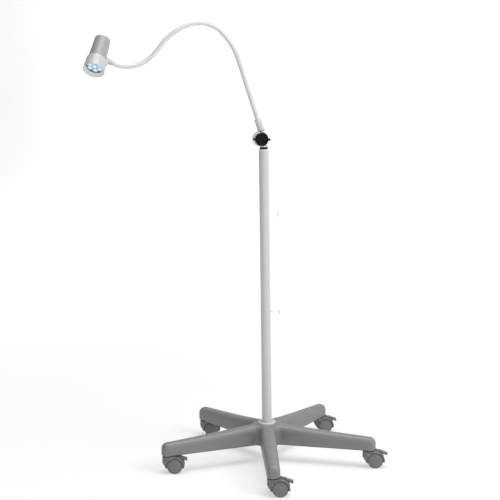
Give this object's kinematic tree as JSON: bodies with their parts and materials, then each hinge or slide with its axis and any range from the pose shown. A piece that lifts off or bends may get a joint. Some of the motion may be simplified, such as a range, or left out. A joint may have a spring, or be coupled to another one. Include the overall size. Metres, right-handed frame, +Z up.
{
  "type": "mobile examination light",
  "caption": "Mobile examination light: a gooseneck lamp head on a slim column with a tilting swivel joint, cord hooks and a star base on braked twin-wheel castors.",
  "frame": {"origin": "on the floor under the axis of the column", "axes": "+Z up along the column; X across the base, with the lamp head hanging to the -X side; Y from the side that faces the light to the back"},
  "size_m": [0.9337, 0.6753, 1.4439],
  "materials": {
    "base_paint": "satin mid-grey paint",
    "ring_paint": "satin light grey paint",
    "column_paint": "satin light grey paint",
    "knuckle_paint": "smooth off-white paint",
    "hook_steel": "coated bent wire",
    "stem_steel": "zinc plated",
    "socket_plastic": "moulded, hidden",
    "black_plastic": "moulded satin black",
    "castor_plastic": "moulded satin grey",
    "lever_plastic": "moulded satin grey",
    "wheel_plastic": "moulded matt grey tread and disc",
    "washer_plastic": "moulded, hidden",
    "neck_sheath": "smooth white sheath over a steel coil",
    "housing_plastic": "smooth semi-gloss white",
    "body_paint": "fine-textured grey paint",
    "sink_aluminium": "raw extruded",
    "board_laminate": "white solder mask",
    "optic_acrylic": "clear moulded lens",
    "cover_glass": "clear flat cover",
    "holder_plastic": "moulded dark blue-grey"
  },
  "bodies": {
    "stand": {"star_base": "base_paint", "castor_sockets": "socket_plastic", "castor_stems": "stem_steel", "foot_ring": "ring_paint", "column_tube": "column_paint", "column_insert": "stem_steel", "column_bolt": "stem_steel", "column_cap": "ring_paint", "swivel_ring": "black_plastic", "upper_hook": "hook_steel", "lower_hook": "hook_steel", "cord_gland": "black_plastic"},
    "front_castor": {"front_castor_hood": "castor_plastic", "front_castor_axle": "stem_steel"},
    "front_wheel_left": {"front_wheel_left": "wheel_plastic"},
    "front_wheel_right": {"front_wheel_right": "wheel_plastic"},
    "front_brake": {"front_brake_lever": "lever_plastic"},
    "right_front_castor": {"right_front_castor_hood": "castor_plastic", "right_front_castor_axle": "stem_steel"},
    "right_front_wheel_left": {"right_front_wheel_left": "wheel_plastic"},
    "right_front_wheel_right": {"right_front_wheel_right": "wheel_plastic"},
    "right_front_brake": {"right_front_brake_lever": "lever_plastic"},
    "right_rear_castor": {"right_rear_castor_hood": "castor_plastic", "right_rear_castor_axle": "stem_steel"},
    "right_rear_wheel_left": {"right_rear_wheel_left": "wheel_plastic"},
    "right_rear_wheel_right": {"right_rear_wheel_right": "wheel_plastic"},
    "right_rear_brake": {"right_rear_brake_lever": "lever_plastic"},
    "left_rear_castor": {"left_rear_castor_hood": "castor_plastic", "left_rear_castor_axle": "stem_steel"},
    "left_rear_wheel_left": {"left_rear_wheel_left": "wheel_plastic"},
    "left_rear_wheel_right": {"left_rear_wheel_right": "wheel_plastic"},
    "left_rear_brake": {"left_rear_brake_lever": "lever_plastic"},
    "left_front_castor": {"left_front_castor_hood": "castor_plastic", "left_front_castor_axle": "stem_steel"},
    "left_front_wheel_left": {"left_front_wheel_left": "wheel_plastic"},
    "left_front_wheel_right": {"left_front_wheel_right": "wheel_plastic"},
    "left_front_brake": {"left_front_brake_lever": "lever_plastic"},
    "swivel_post": {"swivel_post": "knuckle_paint", "friction_washer": "washer_plastic", "pivot_bolt": "stem_steel"},
    "tilt_arm": {"tilt_head": "knuckle_paint", "neck_ferrule": "knuckle_paint", "neck_link_1": "neck_sheath"},
    "clamp_knob": {"clamp_knob": "black_plastic"},
    "neck_link_2": {"neck_link_2": "neck_sheath"},
    "neck_link_3": {"neck_link_3": "neck_sheath"},
    "neck_link_4": {"neck_link_4": "neck_sheath"},
    "neck_link_5": {"neck_link_5": "neck_sheath"},
    "neck_link_6": {"neck_link_6": "neck_sheath"},
    "neck_link_7": {"neck_link_7": "neck_sheath"},
    "lamp_head": {"neck_link_8": "neck_sheath", "neck_collar": "housing_plastic", "lamp_housing": "housing_plastic", "rear_body": "body_paint", "heat_sink": "sink_aluminium", "led_board": "board_laminate", "led_optics": "optic_acrylic", "optic_holder": "holder_plastic", "lens_cover": "cover_glass", "driver_board": "board_laminate"}
  },
  "joints": [
    {"name": "front_castor_swivel", "type": "hinge", "parent": "stand", "child": "front_castor", "pos_m": [0.01496, -0.34267, 0.057], "axis": [0, 0, 1], "continuous": true},
    {"name": "front_wheel_left_spin", "type": "hinge", "parent": "front_castor", "child": "front_wheel_left", "pos_m": [0.03496, -0.35817, 0.025], "axis": [0, 1, 0], "continuous": true},
    {"name": "front_wheel_right_spin", "type": "hinge", "parent": "front_castor", "child": "front_wheel_right", "pos_m": [0.03496, -0.32717, 0.025], "axis": [0, 1, 0], "continuous": true},
    {"name": "front_brake_press", "type": "hinge", "parent": "front_castor", "child": "front_brake", "pos_m": [0.04192, -0.34267, 0.0529], "axis": [0, 1, 0], "range_deg": [0, 9]},
    {"name": "right_front_castor_swivel", "type": "hinge", "parent": "stand", "child": "right_front_castor", "pos_m": [0.33053, -0.09166, 0.057], "axis": [0, 0, 1], "continuous": true},
    {"name": "right_front_wheel_left_spin", "type": "hinge", "parent": "right_front_castor", "child": "right_front_wheel_left", "pos_m": [0.35052, -0.10716, 0.025], "axis": [0, 1, 0], "continuous": true},
    {"name": "right_front_wheel_right_spin", "type": "hinge", "parent": "right_front_castor", "child": "right_front_wheel_right", "pos_m": [0.35052, -0.07616, 0.025], "axis": [0, 1, 0], "continuous": true},
    {"name": "right_front_brake_press", "type": "hinge", "parent": "right_front_castor", "child": "right_front_brake", "pos_m": [0.35748, -0.09166, 0.0529], "axis": [0, 1, 0], "range_deg": [0, 9]},
    {"name": "right_rear_castor_swivel", "type": "hinge", "parent": "stand", "child": "right_rear_castor", "pos_m": [0.18931, 0.28602, 0.057], "axis": [0, 0, 1], "continuous": true},
    {"name": "right_rear_wheel_left_spin", "type": "hinge", "parent": "right_rear_castor", "child": "right_rear_wheel_left", "pos_m": [0.20931, 0.27052, 0.025], "axis": [0, 1, 0], "continuous": true},
    {"name": "right_rear_wheel_right_spin", "type": "hinge", "parent": "right_rear_castor", "child": "right_rear_wheel_right", "pos_m": [0.20931, 0.30152, 0.025], "axis": [0, 1, 0], "continuous": true},
    {"name": "right_rear_brake_press", "type": "hinge", "parent": "right_rear_castor", "child": "right_rear_brake", "pos_m": [0.21627, 0.28602, 0.0529], "axis": [0, 1, 0], "range_deg": [0, 9]},
    {"name": "left_rear_castor_swivel", "type": "hinge", "parent": "stand", "child": "left_rear_castor", "pos_m": [-0.21352, 0.26843, 0.057], "axis": [0, 0, 1], "continuous": true},
    {"name": "left_rear_wheel_left_spin", "type": "hinge", "parent": "left_rear_castor", "child": "left_rear_wheel_left", "pos_m": [-0.19352, 0.25294, 0.025], "axis": [0, 1, 0], "continuous": true},
    {"name": "left_rear_wheel_right_spin", "type": "hinge", "parent": "left_rear_castor", "child": "left_rear_wheel_right", "pos_m": [-0.19352, 0.28393, 0.025], "axis": [0, 1, 0], "continuous": true},
    {"name": "left_rear_brake_press", "type": "hinge", "parent": "left_rear_castor", "child": "left_rear_brake", "pos_m": [-0.18657, 0.26843, 0.0529], "axis": [0, 1, 0], "range_deg": [0, 9]},
    {"name": "left_front_castor_swivel", "type": "hinge", "parent": "stand", "child": "left_front_castor", "pos_m": [-0.32128, -0.12012, 0.057], "axis": [0, 0, 1], "continuous": true},
    {"name": "left_front_wheel_left_spin", "type": "hinge", "parent": "left_front_castor", "child": "left_front_wheel_left", "pos_m": [-0.30128, -0.13562, 0.025], "axis": [0, 1, 0], "continuous": true},
    {"name": "left_front_wheel_right_spin", "type": "hinge", "parent": "left_front_castor", "child": "left_front_wheel_right", "pos_m": [-0.30128, -0.10462, 0.025], "axis": [0, 1, 0], "continuous": true},
    {"name": "left_front_brake_press", "type": "hinge", "parent": "left_front_castor", "child": "left_front_brake", "pos_m": [-0.29432, -0.12012, 0.0529], "axis": [0, 1, 0], "range_deg": [0, 9]},
    {"name": "column_swivel", "type": "hinge", "parent": "stand", "child": "swivel_post", "pos_m": [0, 0, 1.043], "axis": [0, 0, 1], "range_deg": [-170, 170]},
    {"name": "neck_tilt", "type": "hinge", "parent": "swivel_post", "child": "tilt_arm", "pos_m": [-0.01128, -0.0041, 1.069], "axis": [0.342, -0.9397, 0], "range_deg": [-45, 60]},
    {"name": "clamp_knob_turn", "type": "hinge", "parent": "swivel_post", "child": "clamp_knob", "pos_m": [-0.0058, -0.01914, 1.069], "axis": [0.342, -0.9397, 0], "range_deg": [0, 270]},
    {"name": "neck_bend_1", "type": "hinge", "parent": "tilt_arm", "child": "neck_link_2", "pos_m": [-0.03356, -0.01222, 1.18082], "axis": [0.342, -0.9397, 0], "range_deg": [-20, 20]},
    {"name": "neck_bend_2", "type": "hinge", "parent": "neck_link_2", "child": "neck_link_3", "pos_m": [-0.06358, -0.02314, 1.27912], "axis": [0.342, -0.9397, 0], "range_deg": [-20, 20]},
    {"name": "neck_side_bend_3", "type": "hinge", "parent": "neck_link_3", "child": "neck_link_4", "pos_m": [-0.10113, -0.03681, 1.37394], "axis": [-0.7756, -0.2823, -0.5646], "range_deg": [-20, 20]},
    {"name": "neck_bend_4", "type": "hinge", "parent": "neck_link_4", "child": "neck_link_5", "pos_m": [-0.17657, -0.06427, 1.4346], "axis": [0.342, -0.9397, 0], "range_deg": [-20, 20]},
    {"name": "neck_side_bend_5", "type": "hinge", "parent": "neck_link_5", "child": "neck_link_6", "pos_m": [-0.26879, -0.09783, 1.41116], "axis": [0.495, 0.1802, -0.85], "range_deg": [-20, 20]},
    {"name": "neck_bend_6", "type": "hinge", "parent": "neck_link_6", "child": "neck_link_7", "pos_m": [-0.33837, -0.12316, 1.33974], "axis": [0.342, -0.9397, 0], "range_deg": [-20, 20]},
    {"name": "neck_bend_7", "type": "hinge", "parent": "neck_link_7", "child": "lamp_head", "pos_m": [-0.42754, -0.15561, 1.30887], "axis": [0.342, -0.9397, 0], "range_deg": [-20, 20]}
  ]
}
